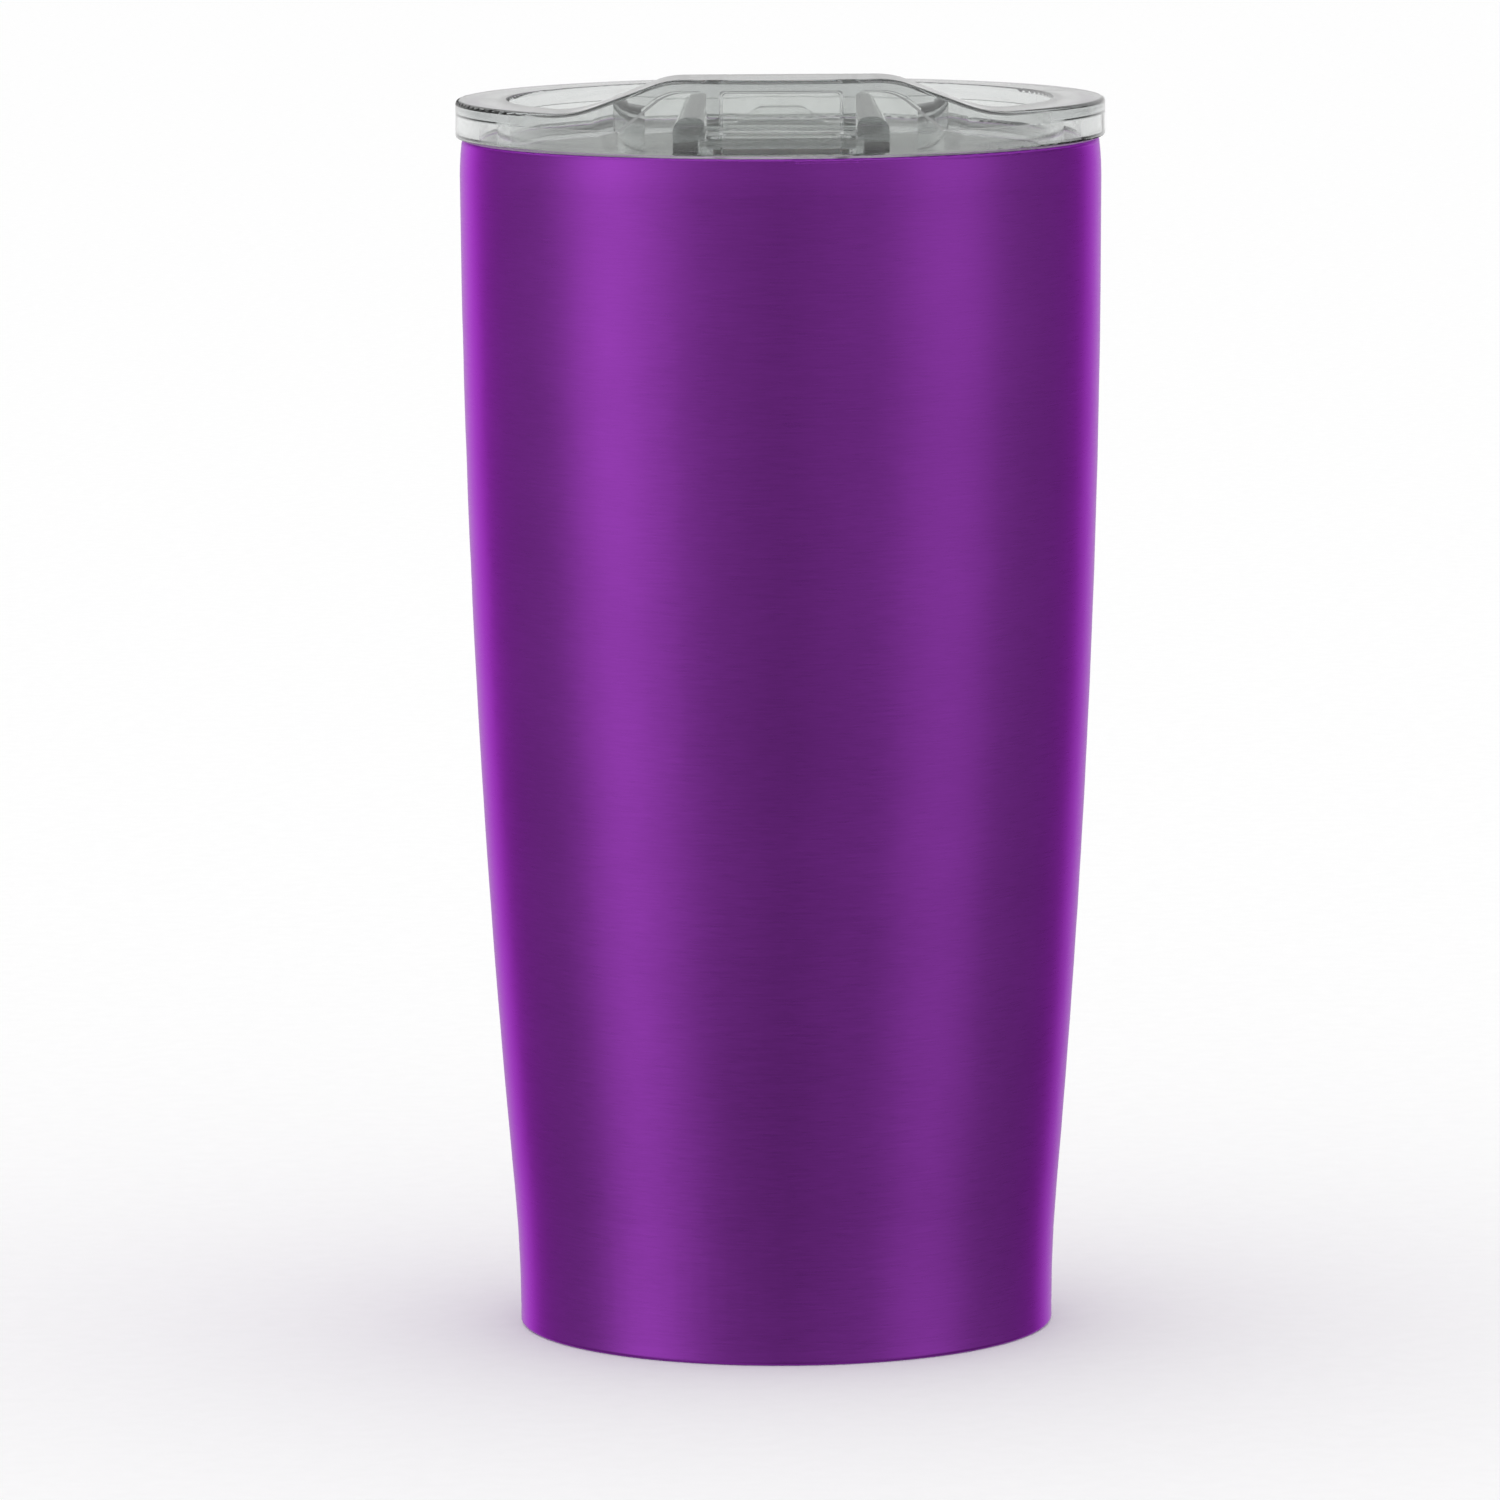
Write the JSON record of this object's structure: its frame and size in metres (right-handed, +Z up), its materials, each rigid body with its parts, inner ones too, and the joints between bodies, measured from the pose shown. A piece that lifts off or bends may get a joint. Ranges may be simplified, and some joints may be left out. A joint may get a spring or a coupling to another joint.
{
  "type": "insulated tumbler with lid",
  "caption": "Tapered double-wall drinking tumbler with a clear push-on lid, raised sipping rim and a sliding closure over the drinking hole.",
  "frame": {"origin": "centre of the base, in the plane the tumbler stands on", "axes": "+Z up along the tumbler's axis, -Y towards the drinking side of the lid, +X to the right seen from that side"},
  "size_m": [0.0892, 0.0892, 0.1751],
  "materials": {
    "lacquered_steel": "translucent purple lacquer over finely brushed steel, satin",
    "liner_steel": "satin, fine circular brush",
    "plain_steel": "mill",
    "base_steel": "satin, circular brush",
    "seal_glass": "melted glass frit",
    "getter_metal": "sintered",
    "smoke_clear_plastic": "clear, light smoke tint",
    "slider_clear_plastic": "clear, light smoke tint",
    "silicone": "soft, translucent white"
  },
  "bodies": {
    "tumbler": {"outer_shell": "lacquered_steel", "inner_liner": "liner_steel", "shell_bottom": "plain_steel", "base_plate": "base_steel", "vacuum_seal": "seal_glass", "getter_cup": "plain_steel", "getter_pellet": "getter_metal"},
    "lid": {"lid_body": "smoke_clear_plastic", "lid_gasket": "silicone"},
    "slider": {"slider": "slider_clear_plastic", "slider_seal": "silicone"}
  },
  "joints": [
    {"name": "lid_lift", "type": "slide", "parent": "tumbler", "child": "lid", "axis": [0, 0, 1], "range_m": [0, 0.05]},
    {"name": "slider_open", "type": "slide", "parent": "lid", "child": "slider", "axis": [0, 1, 0], "range_m": [0, 0.015]}
  ]
}
